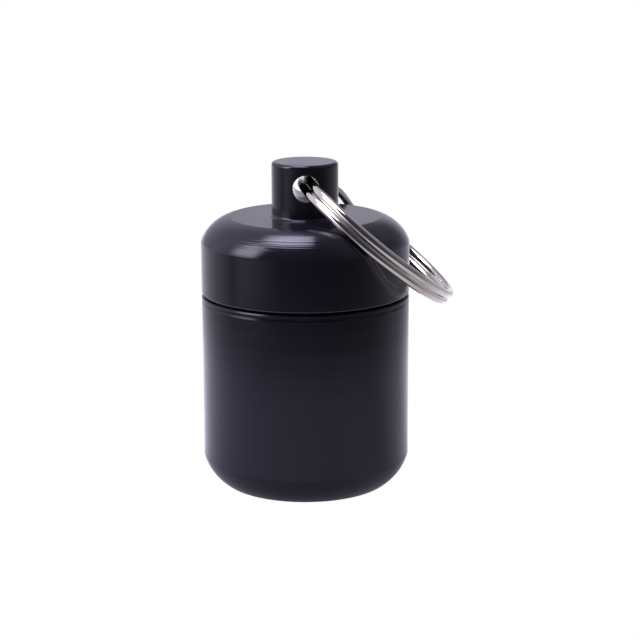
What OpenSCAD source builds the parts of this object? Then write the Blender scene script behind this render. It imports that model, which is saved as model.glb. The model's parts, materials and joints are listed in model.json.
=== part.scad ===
// Round screw-top capsule for pills, with a seal ring and a split key ring.
// Origin: centre of the flat base. +Z runs up the capsule's axis, and the
// boss's cross hole runs along Y. Threads are right-handed: the lid turned
// counter-clockwise, seen from above, climbs one pitch a turn.

/* [Capsule] */
// Outside diameter of the container and the lid
body_d = 27; // [25:0.5:36]
// Height of the container, from its base to the ledge that the neck rises from
ledge_z = 25; // [12:0.1:60]
// Height at which the base's rounded edge meets the straight side
base_edge_h = 3.6; // [2:0.1:6]
// Radius of the base's rounded edge
base_edge_r = 6.35; // [5:0.05:9]
// Angle of the crease between the straight side and the rounded edge
base_crease = 15; // [5:1:25]
// Chamfer on the container's upper outside edge
ledge_chamfer = 0.35; // [0.1:0.05:0.8]

/* [Pill cavity] */
// Diameter of the cavity
cavity_d = 20.4; // [10:0.1:20.6]
// Thickness of the floor under the cavity
floor_t = 2.4; // [1.5:0.1:5]
// Radius of the fillet round the cavity's floor
cavity_fillet = 1.5; // [0.5:0.1:3]

/* [Thread] */
// Height of the neck above the ledge
neck_h = 6.8; // [5:0.1:12]
// Outside diameter of the neck's thread
thread_d = 23.8; // [22.8:0.1:24.2]
// Lift for each full turn
thread_pitch = 1.25; // [1:0.05:1.5]
// Depth of the thread, from crest to root
thread_depth = 0.65; // [0.4:0.05:0.7]
// Width of a thread's crest
thread_crest = 0.2; // [0.1:0.05:0.3]
// Slope of a thread's flanks, from square to the axis
thread_flank = 30; // [20:1:35]
// Clearance between the two threads, measured radially and along the axis
thread_clearance = 0.15; // [0.1:0.01:0.2]
// Chamfer on the neck's rim, inside and outside
neck_chamfer = 0.4; // [0.1:0.05:0.6]

/* [Seal ring] */
// Thickness of the rubber ring
seal_t = 1.1; // [0.8:0.05:1.3]
// Depth of the groove at the foot of the neck, below the thread's root
seal_groove = 0.25; // [0.1:0.05:0.4]
// Running clearance round the rubber ring
seal_clearance = 0.04; // [0.02:0.01:0.1]

/* [Lid] */
// Gap left between the ledge and the lid's rim when the lid is closed
lid_gap = 0.4; // [0.3:0.05:1]
// Height of the lid's straight side
lid_side_h = 6.62; // [5:0.01:15]
// Height of the rounded shoulder above the straight side
shoulder_h = 3.21; // [2:0.01:4]
// Radius of the shoulder's curve
shoulder_r = 5.08; // [4.6:0.01:8]
// Diameter of the lid's flat top
lid_flat_d = 19.6; // [16:0.1:20.4]
// Space between the neck's rim and the lid's ceiling
ceiling_gap = 0.7; // [0.4:0.05:1.5]
// Bevel on the lid's lower outside edge
lid_edge = 0.12; // [0.05:0.01:0.4]

/* [Boss] */
// Diameter of the boss on top of the lid
boss_d = 8.62; // [7:0.02:12]
// Height of the boss above the flat top
boss_h = 7.07; // [6:0.01:12]
// Rounding of the boss's upper edge
boss_edge_r = 0.45; // [0.1:0.01:1]
// Fillet at the boss's foot
boss_fillet = 0.35; // [0.1:0.05:0.6]
// Diameter of the cross hole
hole_d = 3.4; // [3.2:0.05:4]
// Height of the cross hole's axis above the flat top
hole_h = 4.12; // [3:0.01:6]
// Width of the countersink at each end of the cross hole
hole_countersink = 0.3; // [0.1:0.05:0.5]

/* [Key ring] */
// Outside diameter of the split ring
ring_od = 25; // [20:0.5:32]
// Diameter of the ring's wire
wire_d = 1.1; // [0.8:0.05:1.2]
// Gap between the ring's two coils
coil_gap = 0.03; // [0.02:0.01:0.1]
// Angle over which the wire crosses from one coil to the other
crossing_angle = 28; // [20:1:45]
// Place of the crossing, counted from the part of the ring farthest from the boss
crossing_at = 108; // [-130:1:130]
// Shift of the coils off the hole's axis, square to the ring
ring_shift = 0.38; // [0:0.02:0.4]
// Gap left between the leaning ring and the lid
ring_clearance = 0.05; // [0.02:0.01:0.3]

/* [Hidden] */
$fn = 96;
overlap = 0.1;

// Radii of the turned pieces, from the outside in
body_r = body_d / 2;
cavity_r = cavity_d / 2;
crest_r = thread_d / 2;
root_r = crest_r - thread_depth;
lid_crest_r = root_r + thread_clearance;
lid_root_r = crest_r + thread_clearance;
groove_r = root_r - seal_groove;

// Seal ring: it rests in the groove, on the ledge
seal_r = groove_r + seal_clearance + seal_t / 2;
seal_z = ledge_z + seal_clearance + seal_t / 2;
seal_pocket_r = seal_r + seal_t / 2 + 2 * seal_clearance;
seal_pocket_z = seal_z + seal_t / 2 + 2 * seal_clearance;

// Heights of the neck and the lid
neck_z = ledge_z + neck_h;
groove_z = seal_pocket_z + overlap;
rim_z = ledge_z + lid_gap;
crease_z = rim_z + lid_side_h;
flat_z = crease_z + shoulder_h;
ceiling_z = neck_z + ceiling_gap;
boss_z = flat_z + boss_h;
hole_z = flat_z + hole_h;

// Thread: the lid's ridge lies midway between the turns of the neck's ridge
flank_slope = tan(thread_flank);
ridge_root_w = thread_crest + 2 * thread_depth * flank_slope;
lid_ridge_crest_w = thread_pitch - thread_crest - 2 * thread_clearance
    - 2 * (thread_depth - thread_clearance) * flank_slope;
lid_ridge_root_w = lid_ridge_crest_w + 2 * thread_depth * flank_slope;
ridge_z = groove_z + thread_pitch / 2 + overlap;
neck_ridge_turns = (neck_z - neck_chamfer - ridge_root_w / 2 - ridge_z) / thread_pitch;
lid_ridge_z = ridge_z + thread_pitch / 2;
lid_ridge_turns = (ceiling_z - 2 * overlap - lid_ridge_root_w / 2 - lid_ridge_z) / thread_pitch;
ridge_steps = 36;
ridge_fade = 40;
ridge_start = 0.15;
ridge_sunk = 0.3;
ridge_phase = 7;

// Centre of the arc of radius r that bulges outward from point a up to point b
function arc_centre(a, b, r) =
    let (
        chord = b - a,
        half = norm(chord) / 2,
        normal = [-chord[1], chord[0]] / (2 * half)
    )
    (a + b) / 2 + normal * sqrt(r * r - half * half);

shoulder_c = arc_centre([body_r, crease_z], [lid_flat_d / 2, flat_z], shoulder_r);
base_edge_c = [body_r - base_edge_r * cos(base_crease), base_edge_h + base_edge_r * sin(base_crease)];

// Ring: its plane leans from the hole's axis until the lower coil meets the shoulder.
// It is set back by half the wire's bow across the boss, so the bow is centred in the hole.
wire_r = wire_d / 2;
coil_r = ring_od / 2 - wire_r;
coil_pitch = wire_d + coil_gap;
ring_setback = (coil_r - sqrt(coil_r * coil_r - boss_d * boss_d / 4)) / 2;
ring_reach = coil_r - ring_setback;
crossing_sides = 16;
crossing_steps = 10;
crossing_r = 0.99 * wire_r;

// Point at angle t on a coil, for a ring that leans down by lean degrees
function coil_point(t, lean, level) =
    let (
        along = ring_reach + coil_r * cos(t),
        up = ring_shift + level
    )
    [along * cos(lean) + up * sin(lean), coil_r * sin(t), hole_z - along * sin(lean) + up * cos(lean)];

// Distance from a point to the lid's turned surface, without the boss
function lid_distance(p) =
    let (
        r = norm([p[0], p[1]]),
        from_arc = norm([max(r - shoulder_c[0], 0), max(p[2] - shoulder_c[1], 0)]) - shoulder_r
    )
    max(r - body_r, p[2] - flat_z, from_arc);

function lean_gap(lean) =
    min([for (t = [-135:3:135]) lid_distance(coil_point(t, lean, -coil_pitch / 2))]) - wire_r;

// Largest lean, found by halving the interval, that still leaves the clearance
function find_lean(low, high, left) =
    let (middle = (low + high) / 2)
    left == 0 ? low
    : lean_gap(middle) > ring_clearance ? find_lean(middle, high, left - 1)
    : find_lean(low, middle, left - 1);

ring_lean = find_lean(0, 80, 16);

// Closed solid through a list of outlines that all have the same number of points
module skin(outlines) {
    last = len(outlines) - 1;
    sides = len(outlines[0]);
    walls = [
        for (i = [0:last - 1], j = [0:sides - 1])
            let (
                a = i * sides + j,
                b = i * sides + (j + 1) % sides
            )
            each [[a, b, b + sides], [a, b + sides, a + sides]]
    ];
    start_cap = [for (j = [sides - 1:-1:0]) j];
    end_cap = [for (j = [0:sides - 1]) last * sides + j];
    polyhedron(points = [for (outline = outlines) each outline],
               faces = concat([start_cap], walls, [end_cap]));
}

// Helical ridge that rises out of the wall at one end and sinks back into it at the other
module thread_ridge(root, crest, crest_w, z, turns) {
    outward = sign(crest - root);
    steps = floor(turns * ridge_steps);
    step_angle = 360 / ridge_steps;
    foot = root - outward * ridge_sunk;
    foot_w = crest_w + 2 * abs(crest - foot) * flank_slope;
    outline_at = function (i)
        let (
            travel = i * step_angle,
            angle = travel + ridge_phase,
            to_end = min(travel, steps * step_angle - travel),
            rise = ridge_start + (1 - ridge_start) * min(1, to_end / ridge_fade),
            top = foot + (crest - foot) * rise,
            centre = z + travel * thread_pitch / 360,
            corners = [[foot, -foot_w / 2], [top, -crest_w / 2], [top, crest_w / 2], [foot, foot_w / 2]],
            ordered = outward > 0 ? corners : [for (k = [3:-1:0]) corners[k]]
        )
        [for (c = ordered) [c[0] * cos(angle), c[0] * sin(angle), centre + c[1]]];
    skin([for (i = [0:steps]) outline_at(i)]);
}

// Outline of the container, without its cavity
module container_outline() {
    intersection() {
        square([body_r, ledge_z]);
        union() {
            translate(base_edge_c) circle(r = base_edge_r);
            square([base_edge_c[0], ledge_z]);
            translate([0, base_edge_c[1]]) square([body_r + 1, ledge_z]);
        }
        polygon([[0, 0], [body_r + 1, 0], [body_r + 1, ledge_z - ledge_chamfer - 1],
                 [body_r - ledge_chamfer, ledge_z], [0, ledge_z]]);
    }
}

module container_neck_outline() {
    polygon([[0, ledge_z - 1], [groove_r, ledge_z - 1], [groove_r, groove_z],
             [root_r, groove_z + seal_groove], [root_r, neck_z - neck_chamfer],
             [root_r - neck_chamfer, neck_z], [0, neck_z]]);
}

module cavity_outline() {
    difference() {
        translate([0, floor_t]) square([cavity_r, neck_z - floor_t + 1]);
        difference() {
            translate([cavity_r - cavity_fillet, floor_t]) square(cavity_fillet);
            translate([cavity_r - cavity_fillet, floor_t + cavity_fillet]) circle(r = cavity_fillet);
        }
    }
    polygon([[0, neck_z - neck_chamfer], [cavity_r, neck_z - neck_chamfer],
             [cavity_r + neck_chamfer + overlap, neck_z + overlap], [0, neck_z + overlap]]);
}

module container() {
    color([0.13, 0.13, 0.18])
    union() {
        rotate_extrude()
        difference() {
            union() {
                container_outline();
                container_neck_outline();
            }
            cavity_outline();
        }
        thread_ridge(root_r, crest_r, thread_crest, ridge_z, neck_ridge_turns);
    }
}

module seal_ring() {
    color([0.05, 0.05, 0.06])
    rotate_extrude()
    translate([seal_r, seal_z])
    circle(r = seal_t / 2);
}

module lid_outline() {
    polygon([[0, rim_z], [body_r - lid_edge, rim_z], [body_r, rim_z + lid_edge],
             [body_r, shoulder_c[1]], [0, shoulder_c[1]]]);
    intersection() {
        translate([0, shoulder_c[1] - overlap]) square([body_r, flat_z - shoulder_c[1] + overlap]);
        union() {
            translate(shoulder_c) circle(r = shoulder_r);
            translate([0, shoulder_c[1] - 1]) square([shoulder_c[0], flat_z]);
        }
    }
}

module boss_outline() {
    boss_r = boss_d / 2;
    difference() {
        translate([0, flat_z - overlap]) square([boss_r, boss_h + overlap]);
        difference() {
            translate([boss_r - boss_edge_r, boss_z - boss_edge_r]) square(boss_edge_r + overlap);
            translate([boss_r - boss_edge_r, boss_z - boss_edge_r]) circle(r = boss_edge_r);
        }
    }
    difference() {
        translate([boss_r - overlap, flat_z - overlap]) square(boss_fillet + overlap);
        translate([boss_r + boss_fillet, flat_z + boss_fillet]) circle(r = boss_fillet);
    }
}

// Hollow of the lid: a pocket for the seal ring, then the thread's root, then the ceiling
module lid_hollow_outline() {
    polygon([[0, rim_z - 1], [seal_pocket_r, rim_z - 1], [seal_pocket_r, seal_pocket_z],
             [lid_root_r, seal_pocket_z + overlap], [lid_root_r, ceiling_z], [0, ceiling_z]]);
}

module cross_hole() {
    hole_r = hole_d / 2;
    translate([0, 0, hole_z])
    rotate([90, 0, 0])
    union() {
        cylinder(r = hole_r, h = boss_d + 2, center = true);
        for (end = [-1, 1]) {
            translate([0, 0, end * boss_d / 2])
            rotate([end > 0 ? 0 : 180, 0, 0])
            translate([0, 0, -hole_countersink])
            cylinder(r1 = hole_r, r2 = hole_r + 2 * hole_countersink, h = 2 * hole_countersink);
        }
    }
}

module lid() {
    color([0.13, 0.13, 0.18])
    union() {
        difference() {
            rotate_extrude()
            difference() {
                union() {
                    lid_outline();
                    boss_outline();
                }
                lid_hollow_outline();
            }
            cross_hole();
        }
        thread_ridge(lid_root_r, lid_crest_r, lid_ridge_crest_w, lid_ridge_z, lid_ridge_turns);
    }
}

// The wire's crossing from the lower coil to the upper one, as a sweep of its round section.
// Its ends run on inside the two coils.
module coil_crossing() {
    outline_at = function (i)
        let (
            share = min(1, max(0, i / crossing_steps)),
            t = crossing_angle * (i / crossing_steps - 0.5),
            level = -cos(180 * share) * coil_pitch / 2,
            climb = sin(180 * share) * coil_pitch / 2 * 180 / crossing_angle,
            out = [cos(t), sin(t), 0],
            ahead = [-sin(t) * coil_r, cos(t) * coil_r, climb] / norm([coil_r, climb]),
            across = cross(ahead, out)
        )
        [for (k = [0:crossing_sides - 1])
            let (turn = -k * 360 / crossing_sides)
            out * (coil_r + crossing_r * cos(turn)) + [0, 0, level] + across * crossing_r * sin(turn)];
    skin([for (i = [-1:crossing_steps + 1]) outline_at(i)]);
}

module key_ring() {
    color([0.80, 0.80, 0.82])
    translate([0, 0, hole_z])
    rotate([0, ring_lean, 0])
    translate([ring_reach, 0, ring_shift])
    rotate([0, 0, crossing_at])
    union() {
        for (side = [-1, 1]) {
            translate([0, 0, side * coil_pitch / 2])
            rotate([0, 0, crossing_angle / 2])
            rotate_extrude(angle = 360 - crossing_angle)
            translate([coil_r, 0])
            circle(r = wire_r);
        }
        coil_crossing();
    }
}

container();
seal_ring();
lid();
key_ring();
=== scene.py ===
"""Looks of the screw-top pill capsule: anodised container and lid, rubber seal and split key ring.

It is laid out as an add-on: sizes and finishes are properties, and each piece has its operator.
"""

import json
import math

import bpy
from bpy.props import FloatProperty, FloatVectorProperty, IntProperty, PointerProperty
from mathutils import Matrix, Vector


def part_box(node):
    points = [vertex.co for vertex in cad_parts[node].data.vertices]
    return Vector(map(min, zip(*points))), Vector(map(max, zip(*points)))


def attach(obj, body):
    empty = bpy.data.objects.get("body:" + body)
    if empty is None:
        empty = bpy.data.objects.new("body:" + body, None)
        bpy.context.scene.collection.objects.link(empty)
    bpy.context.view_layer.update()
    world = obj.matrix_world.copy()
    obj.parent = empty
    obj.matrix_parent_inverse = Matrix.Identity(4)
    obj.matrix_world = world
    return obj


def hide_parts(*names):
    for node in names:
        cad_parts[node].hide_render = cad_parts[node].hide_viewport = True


bl_info = {
    "name": "Pill Capsule Maker",
    "version": (1, 0, 0),
    "blender": (4, 5, 0),
    "location": "View3D > Sidebar > Pill Capsule",
    "description": "Builds a screw-top pill capsule with a split key ring around its packed frame",
    "category": "Add Mesh",
}

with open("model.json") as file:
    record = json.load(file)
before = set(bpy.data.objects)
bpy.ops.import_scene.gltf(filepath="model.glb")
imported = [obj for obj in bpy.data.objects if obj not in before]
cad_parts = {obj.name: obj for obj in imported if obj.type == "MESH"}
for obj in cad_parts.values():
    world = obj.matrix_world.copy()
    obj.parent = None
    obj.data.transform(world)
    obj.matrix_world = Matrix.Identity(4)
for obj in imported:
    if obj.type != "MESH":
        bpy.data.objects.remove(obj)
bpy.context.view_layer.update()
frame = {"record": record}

MM = 0.001
DEGREES = 180 / math.pi
STUDIO_TINT = (1.0, 0.965, 1.15)
OVERHEAD_TINT = (1.0, 0.965, 1.32)
DIM_TINT = (1.0, 0.95, 1.35)
WHITE = (1.0, 1.0, 1.0)
FLOOR_PEAK = 1.6


# ---------------------------------------------------------------- places taken from the frame

def joint_named(name):
    return next(j for j in frame["record"]["behaviour"]["joints"] if j["name"] == name)


def mount_named(name):
    return next(m for m in frame["record"]["mounts"] if m["name"] == name)


container_low, container_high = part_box("container")
lid_low, lid_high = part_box("lid")
seal_low, seal_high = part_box("seal_ring")
loop_axis = mount_named("key_ring_loop")["axis"]

BODY_RADIUS = container_high.x
NECK_TOP = container_high.z
LID_RIM = lid_low.z
BOSS_TOP = lid_high.z
HOLE_HEIGHT = joint_named("ring_swing")["pos_m"][2]
RING_LEAN = math.atan2(-loop_axis[2], loop_axis[0])
SEAL_THICKNESS = seal_high.z - seal_low.z
SEAL_RADIUS = seal_high.x - SEAL_THICKNESS / 2
SEAL_HEIGHT = (seal_low.z + seal_high.z) / 2
THREAD_LEAD = frame["record"]["behaviour"]["couplings"][0]["ratio"] * 2 * math.pi


# ---------------------------------------------------------------- sizes and finishes

def length(name, description, millimetres):
    """A length, given in millimetres and kept in metres."""
    return FloatProperty(name=name, description=description, default=millimetres * MM,
                         min=0.0, unit="LENGTH", precision=5)


def angle(name, description, degrees):
    """An angle, given in degrees and kept in radians."""
    return FloatProperty(name=name, description=description, default=math.radians(degrees),
                         subtype="ANGLE")


def colour(name, description, red, green, blue):
    """A colour in linear light."""
    return FloatVectorProperty(name=name, description=description, default=(red, green, blue),
                               min=0.0, max=1.0, size=3, subtype="COLOR")


def share(name, description, value):
    """A share from 0 to 1."""
    return FloatProperty(name=name, description=description, default=value, min=0.0, max=1.0,
                         subtype="FACTOR")


class ContainerSizes(bpy.types.PropertyGroup):
    ledge_height: length("Ledge height", "Height of the ledge that the neck rises from", 25)
    base_edge_height: length("Base edge height", "Where the rounded base edge meets the side", 3.6)
    base_edge_radius: length("Base edge radius", "Radius of the rounded base edge", 6.35)
    base_crease: angle("Base crease", "Angle between the side and the rounded base edge", 15)
    ledge_chamfer: length("Ledge chamfer", "Height of the bevel on the container's upper outside edge", 0.2)
    ledge_corner: length("Ledge corner", "Rounding where that bevel meets the side", 0.10)
    line_drop: length("Turned line drop", "How far the fine turned line lies under the ledge", 0.58)
    line_depth: length("Turned line depth", "Depth of the fine turned line", 0.08)
    line_lip: length("Turned line lip", "Height of the line's steep upper flank", 0.05)
    line_run: length("Turned line run", "Height of the line's shallow lower flank", 0.24)
    cavity_radius: length("Cavity radius", "Radius of the pill cavity", 10.2)
    floor_thickness: length("Floor thickness", "Metal left under the pill cavity", 2.4)
    cavity_fillet: length("Cavity fillet", "Radius round the cavity's floor", 1.5)
    groove_radius: length("Seal groove radius", "Radius of the groove at the foot of the neck", 11.0)
    groove_top: length("Seal groove top", "Height at which the seal groove ends", 26.32)
    neck_radius: length("Neck radius", "Radius of the neck at the thread's root", 11.25)
    neck_chamfer: length("Neck chamfer", "Bevel on the neck's rim", 0.4)


class ThreadSizes(bpy.types.PropertyGroup):
    start: length("Thread start", "Height of the neck thread's first turn", 27.045)
    crest_radius: length("Crest radius", "Outside radius of the neck's thread", 11.9)
    crest_width: length("Crest width", "Width of the neck thread's crest", 0.2)
    flank: angle("Flank", "Slope of the thread's flanks", 30)
    clearance: length("Clearance", "Gap between the neck's thread and the lid's", 0.15)
    neck_turns: FloatProperty(name="Neck turns", description="Turns of thread on the neck",
                              default=3.1, min=1)
    lid_turns: FloatProperty(name="Lid turns", description="Turns of thread in the lid",
                             default=3.3, min=1)


class LidSizes(bpy.types.PropertyGroup):
    crease_height: length("Crease height", "Where the lid's side meets its rounded shoulder", 32.02)
    flat_height: length("Flat height", "Height of the lid's flat top", 35.23)
    flat_radius: length("Flat radius", "Radius of the lid's flat top", 9.8)
    shoulder_radius: length("Shoulder radius", "Radius of the shoulder's curve", 5.08)
    rim_edge: length("Rim edge", "Bevel on the lid's lower edge", 0.12)
    pocket_radius: length("Seal pocket radius", "Radius of the pocket round the seal", 12.22)
    pocket_top: length("Seal pocket top", "Height of the seal pocket's ceiling", 26.22)
    hollow_radius: length("Hollow radius", "Radius of the lid at its thread's root", 12.05)
    ceiling: length("Ceiling", "Height of the ceiling inside the lid", 32.5)
    boss_radius: length("Boss radius", "Radius of the boss", 4.31)
    boss_edge: length("Boss edge", "Rounding of the boss's upper edge", 0.45)
    boss_fillet: length("Boss fillet", "Fillet at the boss's foot", 0.35)
    hole_radius: length("Hole radius", "Radius of the cross hole", 1.7)
    hole_edge: length("Hole edge", "Rounding of the cross hole's rims", 0.22)


class KeyRingSizes(bpy.types.PropertyGroup):
    outside_radius: length("Outside radius", "Outside radius of the split ring", 12.5)
    wire_radius: length("Wire radius", "Radius of the round wire", 0.55)
    coil_gap: length("Coil gap", "Gap between the two coils", 0.03)
    crossing: angle("Crossing", "Angle over which the wire crosses between the coils", 28)
    crossing_place: angle("Crossing place", "Where the wire crosses, from the ring's far end", 108)
    shift: length("Shift", "Shift of the coils off the hole's axis, square to the ring", 0.38)
    end_bevel: length("End bevel", "Rounding of the wire's cut ends", 0.14)


class Finishes(bpy.types.PropertyGroup):
    anodising: colour("Anodising", "Colour of the dyed anodic film", 0.0125, 0.0118, 0.0185)
    anodising_worn: colour("Worn anodising", "Colour of the film where it is rubbed", 0.014, 0.013, 0.026)
    # Painted bounce light: the film low on the container is made lighter in colour, standing in for light
    # from the floor.
    anodising_painted_bounce: colour("Pale anodising", "Colour of the film low on the container", 0.015, 0.014, 0.026)
    # Bare metal at a rubbed edge; on the lid's rim this lighter band also paints the highlight line along
    # its lower edge.
    bare_metal: colour("Bare metal", "Colour where the film is worn through at an edge", 0.30, 0.29, 0.32)
    anodising_roughness: share("Anodised roughness", "Roughness of the turned surface", 0.125)
    nickel: colour("Nickel", "Colour of the ring's plating", 0.84, 0.80, 0.72)
    nickel_roughness: share("Nickel roughness", "Roughness of the ring's plating", 0.045)
    rubber: colour("Rubber", "Colour of the seal ring", 0.075, 0.073, 0.080)


class Studio(bpy.types.PropertyGroup):
    focal_length: FloatProperty(name="Focal length", description="Focal length of the camera, in mm",
                                default=103.9, min=20, subtype="DISTANCE_CAMERA")
    distance: length("Distance", "Distance from the camera to the point it looks at", 241.87)
    pitch: angle("Pitch", "How far the camera looks down", 13.611)
    turn: angle("Turn", "How far the camera stands round the capsule", 2.6)
    roll: angle("Roll", "How far the camera leans", -0.159)
    aim_right: length("Aim right", "How far right of the axis the camera looks", 1.892)
    aim_height: length("Aim height", "Height that the camera looks at", 21.325)


class CapsuleSettings(bpy.types.PropertyGroup):
    container: PointerProperty(type=ContainerSizes)
    thread: PointerProperty(type=ThreadSizes)
    lid: PointerProperty(type=LidSizes)
    key_ring: PointerProperty(type=KeyRingSizes)
    finishes: PointerProperty(type=Finishes)
    studio: PointerProperty(type=Studio)
    around: IntProperty(name="Steps round", description="Steps round each turned piece", default=288, min=32)


def settings():
    """The capsule's sizes and finishes in the open scene."""
    return bpy.context.scene.pill_capsule


# ---------------------------------------------------------------- turned surfaces

class Shell:
    """Collects points and faces with the true surface normal at every face corner, then makes a mesh."""

    def __init__(self):
        self.points = []
        self.faces = []
        self.normals = []
        self.rings = {}

    def point(self, place):
        self.points.append(Vector(place))
        return len(self.points) - 1

    def face(self, corners, normals):
        """One face. Its corners are put in the order that makes it look along its normals."""
        kept = [k for k in range(len(corners)) if corners[k] != corners[k - 1]]
        corners = [corners[k] for k in kept]
        normals = [Vector(normals[k]) for k in kept]
        if len(corners) < 3:
            return
        across = self.points[corners[1]] - self.points[corners[0]]
        along = self.points[corners[-1]] - self.points[corners[0]]
        if across.cross(along).dot(sum(normals, Vector())) < 0:
            corners, normals = corners[::-1], normals[::-1]
        self.faces.append(corners)
        self.normals.extend(normals)

    def ring(self, radius, height, around):
        """The points of one circle about the axis, made once and shared after that."""
        finest = 1e-8
        key = (round(radius / finest), round(height / finest))
        if key not in self.rings:
            if radius < finest:
                self.rings[key] = [self.point((0, 0, height))] * around
            else:
                turns = [2 * math.pi * k / around for k in range(around)]
                self.rings[key] = [
                    self.point((radius * math.cos(t), radius * math.sin(t), height)) for t in turns
                ]
        return self.rings[key]

    def turn(self, outline, around):
        """Revolves an outline, which is a list of stretches of (radius, height, normal out, normal up)."""
        for stretch in outline:
            for low, high in zip(stretch, stretch[1:]):
                below = self.ring(low[0], low[1], around)
                above = self.ring(high[0], high[1], around)
                for k in range(around):
                    n = (k + 1) % around
                    here, there = 2 * math.pi * k / around, 2 * math.pi * (k + 1) / around
                    self.face(
                        [below[k], below[n], above[n], above[k]],
                        [spun(low, here), spun(low, there), spun(high, there), spun(high, here)],
                    )

    def build(self, name):
        mesh = bpy.data.meshes.new(name)
        mesh.from_pydata(self.points, [], self.faces)
        mesh.validate(clean_customdata=False)
        mesh.shade_smooth()
        mesh.normals_split_custom_set([n.normalized() for n in self.normals])
        piece = bpy.data.objects.new(name, mesh)
        bpy.context.collection.objects.link(piece)
        return piece


def spun(entry, turn):
    """The normal of an outline's entry, turned about the axis."""
    return Vector((entry[2] * math.cos(turn), entry[2] * math.sin(turn), entry[3]))


def straight(start, end, cuts=1):
    """A straight stretch of outline, in equal cuts. Material lies on the left, going from start to end."""
    run, rise = end[0] - start[0], end[1] - start[1]
    size = math.hypot(run, rise)
    return [
        (start[0] + run * k / cuts, start[1] + rise * k / cuts, rise / size, -run / size)
        for k in range(cuts + 1)
    ]


def curved(centre, radius, start, end, step=math.radians(4)):
    """An arc of outline from angle start to angle end. It bulges out if the angle grows."""
    count = max(3, math.ceil(abs(end - start) / step))
    side = 1 if end > start else -1
    angles = [start + (end - start) * k / count for k in range(count + 1)]
    return [
        (centre[0] + radius * math.cos(a), centre[1] + radius * math.sin(a),
         side * math.cos(a), side * math.sin(a))
        for a in angles
    ]


def ends(stretch, last=False):
    """Where a stretch of outline begins, or where it ends."""
    return stretch[-1 if last else 0][:2]


def helical_ridge(name, root, crest, crest_width, height, turns, flank):
    """A thread's ridge: it rises out of the wall at one end and sinks into it at the other."""
    steps_per_turn, fade_steps = 96, 12
    sunk, rounding = 0.3 * MM, 0.05 * MM
    first_turn = math.radians(7)
    least_rise = 0.1
    slant = 0.7
    outward = 1 if crest > root else -1
    foot = root - outward * sunk
    half_crest = crest_width / 2
    half_foot = half_crest + abs(crest - foot) * math.tan(flank)
    steps = int(turns * steps_per_turn)
    shell = Shell()
    section_size = 6
    for i in range(steps + 1):
        turn = 2 * math.pi * i / steps_per_turn + first_turn
        rise = least_rise + (1 - least_rise) * min(1, i / fade_steps, (steps - i) / fade_steps)
        top = foot + (crest - foot) * rise
        shoulder = top - outward * rounding
        centre = height + THREAD_LEAD * i / steps_per_turn
        section = [(foot, -half_foot), (shoulder, -half_crest), (top, -half_crest + rounding),
                   (top, half_crest - rounding), (shoulder, half_crest), (foot, half_foot)]
        for radius, lift in section:
            shell.point((radius * math.cos(turn), radius * math.sin(turn), centre + lift))
    slopes = [(outward * math.sin(flank), -math.cos(flank)), (outward * slant, -slant), (outward, 0),
              (outward * slant, slant), (outward * math.sin(flank), math.cos(flank)), (-outward, 0)]
    for i in range(steps):
        here = 2 * math.pi * i / steps_per_turn + first_turn
        there = here + 2 * math.pi / steps_per_turn
        for j, (out, up) in enumerate(slopes):
            a, b = i * section_size + j, i * section_size + (j + 1) % section_size
            entry = (0, 0, out, up)
            shell.face([a, b, b + section_size, a + section_size],
                       [spun(entry, here), spun(entry, here), spun(entry, there), spun(entry, there)])
    for first, turn, way in ((0, first_turn, -1), (steps * section_size, here, 1)):
        along = Vector((-math.sin(turn), math.cos(turn), 0)) * way
        shell.face([first + j for j in range(section_size)], [along] * section_size)
    return shell.build(name)


# ---------------------------------------------------------------- the boss's wall with its cross hole

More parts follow.
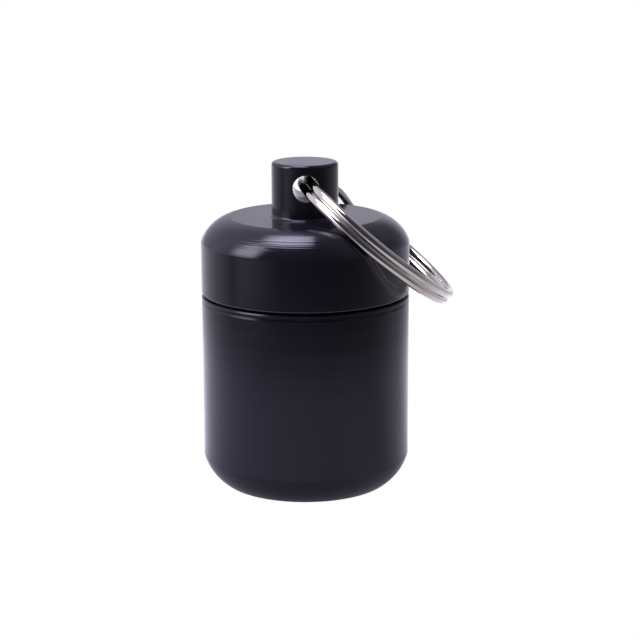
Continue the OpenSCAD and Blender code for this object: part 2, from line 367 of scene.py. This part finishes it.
def boss_wall(shell, radius, low, high, hole_height, hole_radius, edge, around):
    """The boss's round wall between two shared rings, with a round hole through it along Y.

    Each half of the wall is a border round one mouth of the hole, joined to the mouth by loops of faces.
    """
    foot, head = shell.ring(radius, low, around), shell.ring(radius, high, around)
    rows, reach, rim_steps, tunnel_steps = 40, 14, 6, 10
    crowding = 1.6
    half = around // 2

    def on_wall(turn, height):
        return (radius * math.cos(turn), radius * math.sin(turn), height)

    side_posts = {}
    for k in (0, half):
        turn = 2 * math.pi * k / around
        middle = [shell.point(on_wall(turn, low + (high - low) * j / rows)) for j in range(1, rows)]
        side_posts[k] = [foot[k]] + middle + [head[k]]

    mouths = []
    for first in (0, half):
        centre = 2 * math.pi * (first + half / 2) / around
        flip = -1 if first == 0 else 1
        border = []
        for k in range(first, first + half):
            border.append((foot[k % around], 2 * math.pi * k / around, low))
        for j in range(rows):
            border.append((side_posts[(first + half) % around][j], 2 * math.pi * (first + half) / around,
                           low + (high - low) * j / rows))
        for k in range(first + half, first, -1):
            border.append((head[k % around], 2 * math.pi * k / around, high))
        for j in range(rows, 0, -1):
            border.append((side_posts[first][j], 2 * math.pi * first / around,
                           low + (high - low) * j / rows))
        bearings = [math.atan2(z - hole_height, radius * (turn - centre)) for _, turn, z in border]

        def rim_place(bearing, spread, depth):
            """A point at a bearing round the hole, at a spread from its axis and a depth below the wall."""
            aside = spread * math.cos(bearing)
            out = math.sqrt(radius * radius - aside * aside) - depth
            return Vector((flip * aside, -flip * out, hole_height + spread * math.sin(bearing)))

        loops, loop_normals = [], []
        for r in range(reach + 1):
            near = (r / reach) ** crowding
            loop, normals = [], []
            for (index, turn, z), bearing in zip(border, bearings):
                spread = hole_radius + edge
                mouth_turn = centre + math.asin(spread * math.cos(bearing) / radius)
                mouth_z = hole_height + spread * math.sin(bearing)
                at = mouth_turn + (turn - mouth_turn) * near
                height = mouth_z + (z - mouth_z) * near
                loop.append(index if r == reach else shell.point(on_wall(at, height)))
                normals.append(Vector((math.cos(at), math.sin(at), 0)))
            loops.append(loop)
            loop_normals.append(normals)
        for step in range(1, rim_steps + 1):
            lean = math.pi / 2 * step / rim_steps
            spread = hole_radius + edge * (1 - math.sin(lean))
            depth = edge * (1 - math.cos(lean))
            loop, normals = [], []
            for bearing in bearings:
                place = rim_place(bearing, spread, depth)
                outward = Vector((place.x, place.y, 0)).normalized()
                inward = Vector((-flip * math.cos(bearing), 0, -math.sin(bearing)))
                loop.append(shell.point(place))
                normals.append(outward * math.cos(lean) + inward * math.sin(lean))
            loops.insert(0, loop)
            loop_normals.insert(0, normals)
        for inner, outer, n_in, n_out in zip(loops, loops[1:], loop_normals, loop_normals[1:]):
            for b in range(len(border)):
                c = (b + 1) % len(border)
                shell.face([inner[b], inner[c], outer[c], outer[b]], [n_in[b], n_in[c], n_out[c], n_out[b]])
        mouths.append([(loops[0][b], bearings[b]) for b in range(len(border))])

    steps_per_metre = 1e7

    def along_hole(index):
        """Where a point lies as seen along the hole, which is the same at both of its mouths."""
        point = shell.points[index]
        return (round(point.x * steps_per_metre), round(point.z * steps_per_metre))

    far = {along_hole(index): index for index, _ in mouths[0]}
    lines = []
    for index, bearing in mouths[1]:
        start = shell.points[index].copy()
        stop_index = far[along_hole(index)]
        stop = shell.points[stop_index].copy()
        between = [shell.point(start.lerp(stop, s / tunnel_steps)) for s in range(1, tunnel_steps)]
        inward = Vector((-math.cos(bearing), 0, -math.sin(bearing)))
        lines.append(([index] + between + [stop_index], inward))
    for (line, normal), (following, normal_after) in zip(lines, lines[1:] + lines[:1]):
        for s in range(tunnel_steps):
            shell.face([line[s], following[s], following[s + 1], line[s + 1]],
                       [normal, normal_after, normal_after, normal])


# ---------------------------------------------------------------- shader maths

class Field:
    """A socket in a node tree. Arithmetic on it adds the Math nodes that work it out."""

    def __init__(self, tree, socket):
        self.tree = tree
        self.socket = socket

    def node(self, kind, settings=None, sockets=None, output=0):
        """Adds a node: its settings first, then the values or links of its sockets."""
        made = self.tree.nodes.new(kind)
        for key, value in (settings or {}).items():
            setattr(made, key, value)
        for key, value in (sockets or {}).items():
            self.plug(value, made.inputs[key])
        return Field(self.tree, made.outputs[output])

    def plug(self, value, socket):
        """Links a Field to a socket, or sets the socket to a number or a colour."""
        if isinstance(value, Field):
            self.tree.links.new(value.socket, socket)
        elif isinstance(value, tuple) and len(value) == 3 and socket.type == "RGBA":
            socket.default_value = (*value, 1.0)
        else:
            socket.default_value = value

    def maths(self, operation, *values):
        """A Math node with the given operation on the given values, in order."""
        return self.node("ShaderNodeMath", {"operation": operation}, dict(enumerate(values)))

    def __add__(self, other):
        return self.maths("ADD", self, other)

    def __sub__(self, other):
        return self.maths("SUBTRACT", self, other)

    def __rsub__(self, other):
        return self.maths("SUBTRACT", other, self)

    def __mul__(self, other):
        return self.maths("MULTIPLY", self, other)

    def __truediv__(self, other):
        return self.maths("DIVIDE", self, other)

    def __rtruediv__(self, other):
        return self.maths("DIVIDE", other, self)

    def __pow__(self, other):
        return self.maths("POWER", self, other)

    def __rpow__(self, other):
        return self.maths("POWER", other, self)

    def __abs__(self):
        return self.maths("ABSOLUTE", self)

    __radd__ = __add__
    __rmul__ = __mul__

    def between(self, low, high):
        """0 below low, 1 above high, and a smooth step between them. It falls if low is above high."""
        return self.node("ShaderNodeMapRange", {"interpolation_type": "SMOOTHSTEP"},
                         {"Value": self, "From Min": low, "From Max": high})

    def mixed(self, none, full):
        """The colour none where this is 0 and the colour full where it is 1."""
        return self.node("ShaderNodeMix", {"data_type": "RGBA"},
                         {"Factor": self, "A": none, "B": full}, output=2)

    def noise(self, scale, detail=2.0, roughness=0.5, distortion=0.0):
        """Noise at the place that this vector gives. The scale is in cells a metre."""
        return self.node("ShaderNodeTexNoise", None, {
            "Vector": self, "Scale": scale, "Detail": detail, "Roughness": roughness,
            "Distortion": distortion,
        })

    def parts(self):
        """The X, Y and Z of a vector."""
        split = self.node("ShaderNodeSeparateXYZ", None, {"Vector": self}).socket.node
        return [Field(self.tree, output) for output in split.outputs]


def new_material(name):
    """A material with one Principled shader, and a Field that its nodes are added through."""
    material = bpy.data.materials.new(name)
    material.use_nodes = True
    shader = material.node_tree.nodes["Principled BSDF"]
    return material, shader, Field(material.node_tree, None)


def object_place(start):
    """The place of a point in the piece's own coordinates."""
    return start.node("ShaderNodeTexCoord", output=3)


def anodised_metal(finishes, name, index, wear_and_glint_from, wear_and_glint_to, wear_and_glint, painted_bounce_heights=None, coarse=None):
    """Glossy dyed aluminium with the fine rings that a lathe tool leaves. One edge is worn bare, and that
    lighter band also paints a highlight line.

    The rings follow coordinates that change along a turned piece's outline but not round it. The film is
    painted lighter downwards across one span of heights as painted bounce light from the floor, and the
    rings are coarser between the heights in coarse.
    """
    material, shader, start = new_material(name)
    place = object_place(start)
    x, y, height = place.parts()
    radius = (x * x + y * y) ** 0.5
    outline = start.node("ShaderNodeCombineXYZ", None, {"X": radius, "Y": height, "Z": 0.0})
    fine_rings = outline.noise(9000.0, detail=2.0)
    tool_rings = outline.noise(5200.0, detail=1.0)
    broad_rings = outline.noise(1900.0, detail=1.0)
    waviness = outline.noise(420.0, detail=0.0)
    smudges = place.noise(170.0, detail=3.0, roughness=0.6, distortion=0.4)
    specks = place.noise(2600.0, detail=0.0).between(0.79, 0.83)
    relief = fine_rings * 0.10 + tool_rings * 0.5 + broad_rings * 0.4 + waviness * 0.3
    plain_relief = 0.25
    if coarse:
        low, high = coarse
        band = height.between(low - 0.2 * MM, low + 0.3 * MM) * height.between(high, high - 0.4 * MM)
        relief = relief * (band * (1 - plain_relief) + plain_relief)
    else:
        relief = relief * plain_relief
    bump = start.node("ShaderNodeBump", None, {"Strength": 1.0, "Distance": 0.06 * MM, "Height": relief})
    rubbed = smudges.between(0.45, 0.75) * 0.35 + specks * 0.8
    base = rubbed.mixed(tuple(finishes.anodising), tuple(finishes.anodising_worn))
    rough = (broad_rings - 0.5) * 0.10 + smudges.between(0.4, 0.8) * 0.05 + finishes.anodising_roughness
    # Painted bounce light: the film turns lighter towards the base, standing in for light thrown up from the
    # floor.
    if painted_bounce_heights:
        base = height.between(*painted_bounce_heights).mixed(base, tuple(finishes.anodising_painted_bounce))
    # The lighter band at one edge is wear and a painted highlight: on the lid's rim it stands in for the
    # glint along the lower edge.
    middle, half = (wear_and_glint_from + wear_and_glint_to) / 2, (wear_and_glint_to - wear_and_glint_from) / 2
    edge = abs(height - middle).between(half, half * 0.5)
    edge = edge * radius.between(BODY_RADIUS - 0.25 * MM, BODY_RADIUS - 0.1 * MM)
    edge = edge * (place.noise(900.0, detail=3.0).between(0.25, 0.7) * 0.5 + 0.5)
    base = (edge * (wear_and_glint * 2)).mixed(base, tuple(finishes.bare_metal))
    start.plug(base, shader.inputs["Base Color"])
    start.plug(edge * wear_and_glint, shader.inputs["Metallic"])
    start.plug(rough + edge * 0.1, shader.inputs["Roughness"])
    start.plug(bump, shader.inputs["Normal"])
    shader.inputs["IOR"].default_value = index
    shader.inputs["Anisotropic"].default_value = 0.6
    shader.inputs["Anisotropic Rotation"].default_value = 0.25
    return material


def nickel_plate(finishes):
    """Bright nickel over drawn wire, a little cloudy, with fine rubbing marks."""
    material, shader, start = new_material("bright_nickel")
    place = object_place(start)
    clouds = place.noise(260.0, detail=3.0, roughness=0.6)
    rubbing = place.noise(1500.0, detail=4.0, roughness=0.7)
    clouded = tuple(c * 0.92 for c in finishes.nickel)
    base = clouds.between(0.35, 0.75).mixed(tuple(finishes.nickel), clouded)
    rough = rubbing.between(0.5, 0.8) * 0.06 + clouds * 0.03 + finishes.nickel_roughness
    bump = start.node("ShaderNodeBump", None, {
        "Strength": 0.12, "Distance": 0.004 * MM, "Height": rubbing * 0.5 + clouds,
    })
    start.plug(base, shader.inputs["Base Color"])
    start.plug(rough, shader.inputs["Roughness"])
    start.plug(bump, shader.inputs["Normal"])
    shader.inputs["Metallic"].default_value = 1.0
    return material


def seal_rubber(finishes):
    """Matt moulded rubber with a faint bloom."""
    material, shader, start = new_material("black_rubber")
    place = object_place(start)
    grain = place.noise(6000.0, detail=3.0)
    bloom = place.noise(500.0, detail=3.0)
    bloomed = tuple(c * 1.5 for c in finishes.rubber)
    base = bloom.between(0.45, 0.8).mixed(tuple(finishes.rubber), bloomed)
    bump = start.node("ShaderNodeBump", None, {"Strength": 0.4, "Distance": 0.01 * MM, "Height": grain})
    start.plug(base, shader.inputs["Base Color"])
    start.plug(bloom * 0.15 + 0.30, shader.inputs["Roughness"])
    start.plug(bump, shader.inputs["Normal"])
    return material


def give(piece, material, body, node):
    """Finishes a piece: its material, the body it rides on and the node it stands for."""
    piece.data.materials.append(material)
    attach(piece, body)
    if node:
        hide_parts(node)


# ---------------------------------------------------------------- operators

class CAPSULE_OT_container(bpy.types.Operator):
    """Build the container: base, side, ledge, seal groove, threaded neck and pill cavity"""

    bl_idname = "pill_capsule.container"
    bl_label = "Container"

    def execute(self, context):
        s, t = settings().container, settings().thread
        around = settings().around
        edge_centre = (BODY_RADIUS - s.base_edge_radius * math.cos(s.base_crease),
                       s.base_edge_height + s.base_edge_radius * math.sin(s.base_crease))
        base_turn = -math.pi + math.asin(edge_centre[1] / s.base_edge_radius)
        base_edge = curved(edge_centre, s.base_edge_radius, -math.pi - base_turn, -s.base_crease)
        fillet = curved((s.cavity_radius - s.cavity_fillet, s.floor_thickness + s.cavity_fillet),
                        s.cavity_fillet, 0, -math.pi / 2)
        chamfer, neck = s.ledge_chamfer, s.neck_chamfer
        groove_step = s.neck_radius - s.groove_radius
        ledge_edge = curved((BODY_RADIUS - s.ledge_corner, s.ledge_height - chamfer), s.ledge_corner,
                            0, math.radians(30), math.radians(6))
        chamfer_width = chamfer * 0.6
        corners = [
            ends(ledge_edge, True), (BODY_RADIUS - chamfer_width, s.ledge_height),
            (s.groove_radius, s.ledge_height), (s.groove_radius, s.groove_top),
            (s.neck_radius, s.groove_top + groove_step), (s.neck_radius, NECK_TOP - neck),
            (s.neck_radius - neck, NECK_TOP), (s.cavity_radius + neck, NECK_TOP),
            (s.cavity_radius, NECK_TOP - neck), ends(fillet),
        ]
        outline = [straight((0, 0), ends(base_edge), 6), base_edge]
        line_height = s.ledge_height - s.line_drop
        side = [(BODY_RADIUS, line_height - s.line_run), (BODY_RADIUS - s.line_depth, line_height),
                (BODY_RADIUS, line_height + s.line_lip), ends(ledge_edge)]
        outline += [straight(ends(base_edge, True), side[0], 12)]
        outline += [straight(a, b) for a, b in zip(side, side[1:])]
        outline += [ledge_edge]
        outline += [straight(a, b, 2) for a, b in zip(corners, corners[1:])]
        outline += [fillet, straight(ends(fillet, True), (0, s.floor_thickness), 6)]
        shell = Shell()
        shell.turn(outline, around)
        wear_and_glint_height, wear_and_glint_half = s.ledge_height - chamfer, 0.1 * MM
        # Below 23 mm the container's film is painted lighter: painted bounce light from the floor.
        metal = anodised_metal(settings().finishes, "anodised_container", index=1.42,
                               wear_and_glint_from=wear_and_glint_height - wear_and_glint_half, wear_and_glint_to=wear_and_glint_height + wear_and_glint_half,
                               wear_and_glint=0.01, painted_bounce_heights=(23 * MM, 13 * MM))
        give(shell.build("container_shell"), metal, "container", "container")
        ridge = helical_ridge("container_thread", s.neck_radius, t.crest_radius, t.crest_width,
                              t.start, t.neck_turns, t.flank)
        give(ridge, metal, "container", None)
        return {"FINISHED"}


class CAPSULE_OT_seal(bpy.types.Operator):
    """Build the rubber seal ring at the foot of the neck"""

    bl_idname = "pill_capsule.seal"
    bl_label = "Seal ring"

    def execute(self, context):
        shell = Shell()
        outline = [curved((SEAL_RADIUS, SEAL_HEIGHT), SEAL_THICKNESS / 2, 0, 2 * math.pi, math.radians(10))]
        shell.turn(outline, settings().around)
        give(shell.build("seal"), seal_rubber(settings().finishes), "seal", "seal_ring")
        return {"FINISHED"}


class CAPSULE_OT_lid(bpy.types.Operator):
    """Build the lid: rim, side, rounded shoulder, flat top, cross-drilled boss and threaded hollow"""

    bl_idname = "pill_capsule.lid"
    bl_label = "Lid"

    def execute(self, context):
        s, t = settings().lid, settings().thread
        around = settings().around
        crease, flat = Vector((BODY_RADIUS, s.crease_height)), Vector((s.flat_radius, s.flat_height))
        chord = flat - crease
        offset = math.sqrt(s.shoulder_radius ** 2 - chord.length_squared / 4)
        centre = (crease + flat) / 2 + Vector((-chord.y, chord.x)).normalized() * offset
        start, stop = crease - centre, flat - centre
        shoulder = curved(centre, s.shoulder_radius, math.atan2(start.y, start.x),
                          math.atan2(stop.y, stop.x), math.radians(2))
        foot = curved((s.boss_radius + s.boss_fillet, s.flat_height + s.boss_fillet), s.boss_fillet,
                      -math.pi / 2, -math.pi, math.radians(9))
        head = curved((s.boss_radius - s.boss_edge, BOSS_TOP - s.boss_edge), s.boss_edge,
                      0, math.pi / 2, math.radians(9))
        pocket_bevel = 0.1 * MM
        inside = [
            (0, s.ceiling), (s.hollow_radius, s.ceiling), (s.hollow_radius, s.pocket_top + pocket_bevel),
            (s.pocket_radius, s.pocket_top), (s.pocket_radius, LID_RIM), (BODY_RADIUS - s.rim_edge, LID_RIM),
        ]
        rim = curved((BODY_RADIUS - s.rim_edge, LID_RIM + s.rim_edge), s.rim_edge, -math.pi / 2, 0,
                     math.radians(15))
        outline = [straight(a, b, 4) for a, b in zip(inside, inside[1:])]
        outline += [rim, straight(ends(rim, True), tuple(crease), 12), shoulder]
        outline += [straight(tuple(flat), ends(foot), 4), foot]
        outline += [head, straight(ends(head, True), (0, BOSS_TOP), 4)]
        shell = Shell()
        shell.turn(outline, around)
        boss_wall(shell, s.boss_radius, ends(foot, True)[1], ends(head)[1], HOLE_HEIGHT,
                  s.hole_radius, s.hole_edge, around)
        # The lid's rim band is rubbed bare metal and also a painted highlight line along the lower edge.
        metal = anodised_metal(settings().finishes, "anodised_lid", index=1.5,
                               wear_and_glint_from=LID_RIM - s.rim_edge, wear_and_glint_to=LID_RIM + s.rim_edge * 1.4,
                               wear_and_glint=0.17, coarse=(s.crease_height, s.flat_height))
        give(shell.build("lid_shell"), metal, "lid", "lid")
        neck_radius = settings().container.neck_radius
        depth = t.crest_radius - neck_radius
        narrowing = 2 * (depth - t.clearance) * math.tan(t.flank)
        crest_width = THREAD_LEAD - t.crest_width - 2 * t.clearance - narrowing
        ridge = helical_ridge("lid_thread", s.hollow_radius, neck_radius + t.clearance,
                              crest_width, t.start + THREAD_LEAD / 2, t.lid_turns, t.flank)
        give(ridge, metal, "lid", None)
        return {"FINISHED"}


class CAPSULE_OT_key_ring(bpy.types.Operator):
    """Build the split key ring: one round wire wound in two coils, with its crossing and its cut ends"""

    bl_idname = "pill_capsule.key_ring"
    bl_label = "Key ring"

    def execute(self, context):
        s = settings().key_ring
        sides, step = 32, math.radians(1.5)
        coil = s.outside_radius - s.wire_radius
        pitch = 2 * s.wire_radius + s.coil_gap
        setback = (coil - math.sqrt(coil ** 2 - settings().lid.boss_radius ** 2)) / 2
        away = Vector((math.cos(RING_LEAN), 0, -math.sin(RING_LEAN)))
        square = Vector((math.sin(RING_LEAN), 0, math.cos(RING_LEAN)))
        across = Vector((0, 1, 0))
        middle = Vector((0, 0, HOLE_HEIGHT)) + away * (coil - setback) + square * s.shift
        one_coil = 2 * math.pi - s.crossing

        def frame_at(run):
            """The wire's centre at an angle along its run, with its directions outwards and ahead."""
            turn = s.crossing_place + s.crossing / 2 + run
            through = min(1.0, max(0.0, (run - one_coil) / s.crossing))
            level = -math.cos(math.pi * through) * pitch / 2
            climb = math.sin(math.pi * through) * pitch / 2 * math.pi / s.crossing
            out = away * math.cos(turn) + across * math.sin(turn)
            ahead = (across * math.cos(turn) - away * math.sin(turn)) * coil + square * climb
            ahead.normalize()
            return middle + out * coil + square * level, out, ahead

        shell = Shell()
        total = 2 * one_coil + s.crossing
        count = math.ceil(total / step)
        bevel_steps = 5
        rounding = [math.pi / 2 * k / bevel_steps for k in range(bevel_steps + 1)]
        sections = [
            (0.0, s.wire_radius - s.end_bevel * (1 - math.sin(a)), -s.end_bevel * math.cos(a),
             a - math.pi / 2)
            for a in rounding
        ]
        sections += [(total * k / count, s.wire_radius, 0.0, 0.0) for k in range(1, count)]
        sections += [
            (total, s.wire_radius - s.end_bevel * (1 - math.cos(a)), s.end_bevel * math.sin(a), a)
            for a in rounding
        ]
        loops = []
        for run, radius, ahead_by, tilt in sections:
            place, out, ahead = frame_at(run)
            up = ahead.cross(out)
            loop, normals = [], []
            for k in range(sides):
                bearing = 2 * math.pi * k / sides
                spoke = out * math.cos(bearing) + up * math.sin(bearing)
                loop.append(shell.point(place + ahead * ahead_by + spoke * radius))
                normals.append(spoke * math.cos(tilt) + ahead * math.sin(tilt))
            loops.append((loop, normals))
        for (loop, normals), (following, after) in zip(loops, loops[1:]):
            for k in range(sides):
                n = (k + 1) % sides
                shell.face([loop[k], loop[n], following[n], following[k]],
                           [normals[k], normals[n], after[n], after[k]])
        for (loop, _), run, way in ((loops[0], 0.0, -1), (loops[-1], total, 1)):
            ahead = frame_at(run)[2] * way
            shell.face(loop, [ahead] * sides)
        give(shell.build("split_ring"), nickel_plate(settings().finishes), "ring", "key_ring")
        return {"FINISHED"}


# Each patch of light: its strength, then where it fades round the axis and up the sky, in degrees.
# It grows from the first value of each pair to the second, in whichever direction that is.
STUDIO_PATCHES = {
    "right side": (0.11, [(22, 62)], []),
    "right side, farther back": (0.08, [(92, 112)], []),
    "haze high on the right": (0.06, [(50, 75), (160, 130)], [(25, 38), (68, 50)]),
    "glow low on the right": (0.15, [(86, 100), (160, 145)], [(14, 6)]),
    "wall behind": (0.42, [(138, 165)], [(26, 8)]),
    "wall behind on the left": (0.50, [(-112, -128)], []),
    "left wing": (0.68, [(-52, -66), (-132, -112)], []),
    "soft box on the left": (4.3, [(-58, -68), (-100, -86)], [(6, 32), (64, 48)]),
    "glow under the soft box": (0.66, [(-48, -62), (-90, -76)], [(40, 5)]),
}


def compass(vector):
    """The direction of a vector round the axis in degrees, 0 in front and 90 on the right, and its parts."""
    x, y, z = vector.parts()
    return x.maths("ARCTAN2", x, 0 - y) * DEGREES, x, y, z


def aimed(way, azimuth, elevation):
    """How nearly a direction points at a place in the sky: 1 is straight at it."""
    a, e = math.radians(azimuth), math.radians(elevation)
    target = (math.sin(a) * math.cos(e), -math.cos(a) * math.cos(e), math.sin(e))
    return way.node("ShaderNodeVectorMath", {"operation": "DOT_PRODUCT"}, {0: way, 1: target}, output=1)


def studio_air(world):
    """What the capsule mirrors: a wall behind, a soft box on its left, another overhead, and a dim front."""
    world.use_nodes = True
    tree = world.node_tree
    tree.nodes.clear()
    start = Field(tree, None)
    way = start.node("ShaderNodeTexCoord", output=0)
    side, x, y, z = compass(way)
    tilt = z.maths("ARCSINE", z) * DEGREES

    brightness = 0.0
    for strength, bearings, heights in STUDIO_PATCHES.values():
        patch = strength
        for near, far in bearings:
            patch = side.between(near, far) * patch
        for near, far in heights:
            patch = tilt.between(near, far) * patch
        brightness = patch + brightness

    overhead_azimuth, overhead_height, overhead_strength = -112, 81, 7.4
    overhead_edge, overhead_heart = math.cos(math.radians(21)), math.cos(math.radians(8))
    over = aimed(way, overhead_azimuth, overhead_height).between(overhead_edge, overhead_heart)
    over = over * overhead_strength * x.between(0.10, 0.07)
    dim_strength = 0.04
    glow = start.node("ShaderNodeBackground", None, {"Color": STUDIO_TINT, "Strength": brightness})
    cool_glow = start.node("ShaderNodeBackground", None, {"Color": OVERHEAD_TINT, "Strength": over})
    dim_glow = start.node("ShaderNodeBackground", None, {"Color": DIM_TINT, "Strength": dim_strength})
    white = start.node("ShaderNodeBackground", None, {"Color": WHITE, "Strength": 1.0})
    lit = start.node("ShaderNodeAddShader", None, {0: glow, 1: cool_glow})
    lit = start.node("ShaderNodeAddShader", None, {0: lit, 1: dim_glow})
    seen = start.node("ShaderNodeLightPath", output=0)
    shown = start.node("ShaderNodeMixShader", None, {0: seen, 1: lit, 2: white})
    out = tree.nodes.new("ShaderNodeOutputWorld")
    start.plug(shown, out.inputs["Surface"])


def pale_floor():
    """A plain white sheet. Its light falls off towards the front and under the capsule."""
    material = bpy.data.materials.new("pale_floor")
    material.use_nodes = True
    tree = material.node_tree
    tree.nodes.clear()
    start = Field(tree, None)
    side, x, y, z = compass(object_place(start))
    reach = (x * x + y * y) ** 0.5

    far_strength, far_falloff, far_dip = 0.92, 1.9, 0.3
    back = (y / (reach + 0.1 * MM) + 1) * 0.5
    far = back ** far_falloff * far_strength
    far = far * (1 - side.between(95, 120) * side.between(172, 145) * far_dip)

    near_strength, near_least, near_dip = 0.46, 0.06, 0.35
    near = reach.between(108 * MM, 60 * MM) * near_strength + near_least
    near = near * (1 - side.between(40, 75) * side.between(150, 100) * near_dip)

    strip_strength, strip_cut = 0.23, 0.10
    strip = side.between(-22, -60) * side.between(-84, -70) * strip_strength
    strip = strip - side.between(-80, -84) * side.between(-95, -90) * strip_cut
    strip = strip * reach.between(100 * MM, 130 * MM)

    under_capsule = 0.5
    shade = reach.between(9 * MM, 24 * MM) * (1 - under_capsule) + under_capsule
    brightness = (far + strip + near) * shade
    unlit = start.node("ShaderNodeEmission", None, {"Strength": 0.0})
    lit = start.node("ShaderNodeEmission", None, {"Color": STUDIO_TINT, "Strength": FLOOR_PEAK})
    bounce = start.node("ShaderNodeMixShader", None, {0: brightness * (1 / FLOOR_PEAK), 1: unlit, 2: lit})
    white = start.node("ShaderNodeEmission", None, {"Color": WHITE, "Strength": 1.0})
    seen = start.node("ShaderNodeLightPath", output=0)
    shown = start.node("ShaderNodeMixShader", None, {0: seen, 1: bounce, 2: white})
    out = tree.nodes.new("ShaderNodeOutputMaterial")
    start.plug(shown, out.inputs["Surface"])
    return material


class CAPSULE_OT_stage(bpy.types.Operator):
    """Set up the pale floor, the soft lights and the camera"""

    bl_idname = "pill_capsule.stage"
    bl_label = "Stage"

    def execute(self, context):
        s = settings().studio
        scene = context.scene
        scene.view_settings.view_transform = "Standard"

        mesh = bpy.data.meshes.new("floor")
        floor_reach = 3.0
        corners = [(x * floor_reach, y * floor_reach, 0) for x, y in ((-1, -1), (1, -1), (1, 1), (-1, 1))]
        mesh.from_pydata(corners, [], [(0, 1, 2, 3)])
        floor = bpy.data.objects.new("floor", mesh)
        scene.collection.objects.link(floor)
        floor.data.materials.append(pale_floor())

        world = bpy.data.worlds.new("studio")
        scene.world = world
        studio_air(world)

        forward = Vector((0, math.cos(s.pitch), -math.sin(s.pitch)))
        right = Vector((1, 0, 0))
        up = right.cross(forward)
        leaned_right = right * math.cos(s.roll) + up * math.sin(s.roll)
        leaned_up = up * math.cos(s.roll) - right * math.sin(s.roll)
        place = Vector((s.aim_right, 0, s.aim_height)) - forward * s.distance
        axes = Matrix((leaned_right, leaned_up, -forward)).transposed().to_4x4()
        camera_data = bpy.data.cameras.new("camera")
        camera_data.lens = s.focal_length
        camera_data.clip_start = 0.01
        camera = bpy.data.objects.new("camera", camera_data)
        scene.collection.objects.link(camera)
        camera.matrix_world = Matrix.Rotation(-s.turn, 4, "Z") @ Matrix.Translation(place) @ axes
        scene.camera = camera
        return {"FINISHED"}


class CAPSULE_PT_panel(bpy.types.Panel):
    """The capsule's operators, and the sizes and finishes that they use"""

    bl_label = "Pill Capsule"
    bl_idname = "CAPSULE_PT_panel"
    bl_space_type = "VIEW_3D"
    bl_region_type = "UI"
    bl_category = "Pill Capsule"

    def draw(self, context):
        for piece in PIECES:
            self.layout.operator(piece.bl_idname)
        for group in ("container", "thread", "lid", "key_ring", "finishes", "studio"):
            box = self.layout.box()
            box.label(text=group.replace("_", " ").capitalize())
            values = getattr(settings(), group)
            for name in values.__annotations__:
                box.prop(values, name)


PIECES = (CAPSULE_OT_stage, CAPSULE_OT_container, CAPSULE_OT_seal, CAPSULE_OT_lid, CAPSULE_OT_key_ring)
GROUPS = (ContainerSizes, ThreadSizes, LidSizes, KeyRingSizes, Finishes, Studio, CapsuleSettings)


def register():
    for cls in GROUPS + PIECES + (CAPSULE_PT_panel,):
        bpy.utils.register_class(cls)
    bpy.types.Scene.pill_capsule = PointerProperty(type=CapsuleSettings)


def unregister():
    del bpy.types.Scene.pill_capsule
    for cls in reversed(GROUPS + PIECES + (CAPSULE_PT_panel,)):
        bpy.utils.unregister_class(cls)


def main():
    """Builds the stage and every piece."""
    register()
    bpy.ops.pill_capsule.stage()
    bpy.ops.pill_capsule.container()
    bpy.ops.pill_capsule.seal()
    bpy.ops.pill_capsule.lid()
    bpy.ops.pill_capsule.key_ring()


if __name__ == "__main__":
    main()
